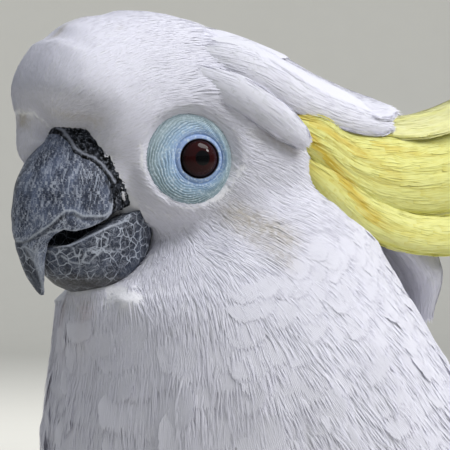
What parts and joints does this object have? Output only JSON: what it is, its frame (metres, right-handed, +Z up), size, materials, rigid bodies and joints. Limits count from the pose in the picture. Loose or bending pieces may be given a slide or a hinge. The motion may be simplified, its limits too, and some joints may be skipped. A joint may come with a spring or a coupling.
{
  "type": "white cockatoo",
  "caption": "Life-size white cockatoo standing on both feet, with a yellow and white crest laid back, a grey hooked bill and bare blue eye rings.",
  "frame": {"origin": "On the floor, under the middle of the bird's outline.", "axes": "+Z is up, the bird faces -Y, and its left side is +X."},
  "size_m": [0.1118, 0.3914, 0.2421],
  "materials": {
    "feather_white": "soft matt white feather",
    "feather_yellow": "soft matt lemon yellow feather",
    "bill_horn": "dark slate horn with pale dusty scratches",
    "cere_skin": "rough black skin",
    "eye_ring_skin": "bare finely wrinkled pale blue skin",
    "eye": "wet dark red-brown eye",
    "foot_skin": "scaly dark grey skin",
    "claw_horn": "dark horn"
  },
  "bodies": {
    "root": {"bill_lower": "bill_horn", "bill_upper": "bill_horn", "cere": "cere_skin", "claw_left_1": "claw_horn", "claw_left_2": "claw_horn", "claw_left_3": "claw_horn", "claw_left_4": "claw_horn", "claw_right_1": "claw_horn", "claw_right_2": "claw_horn", "claw_right_3": "claw_horn", "claw_right_4": "claw_horn", "crest_brow_left": "feather_white", "crest_brow_right": "feather_white", "crest_nape": "feather_white", "crest_white_left": "feather_white", "crest_white_middle": "feather_white", "crest_white_right": "feather_white", "crest_yellow_left_lower": "feather_yellow", "crest_yellow_left_upper": "feather_yellow", "crest_yellow_middle": "feather_yellow", "crest_yellow_right_lower": "feather_yellow", "crest_yellow_right_upper": "feather_yellow", "eye_left": "eye", "eye_right": "eye", "eye_ring_left": "eye_ring_skin", "eye_ring_right": "eye_ring_skin", "head": "feather_white", "neck": "feather_white", "shank_left": "foot_skin", "shank_right": "foot_skin", "tail_left": "feather_white", "tail_middle": "feather_white", "tail_right": "feather_white", "thigh_left": "feather_white", "thigh_right": "feather_white", "toe_left_1": "foot_skin", "toe_left_2": "foot_skin", "toe_left_3": "foot_skin", "toe_left_4": "foot_skin", "toe_right_1": "foot_skin", "toe_right_2": "foot_skin", "toe_right_3": "foot_skin", "toe_right_4": "foot_skin", "trunk": "feather_white", "wing_left_coverts": "feather_white", "wing_left_primaries": "feather_white", "wing_left_secondaries": "feather_white", "wing_right_coverts": "feather_white", "wing_right_primaries": "feather_white", "wing_right_secondaries": "feather_white"}
  },
  "joints": []
}
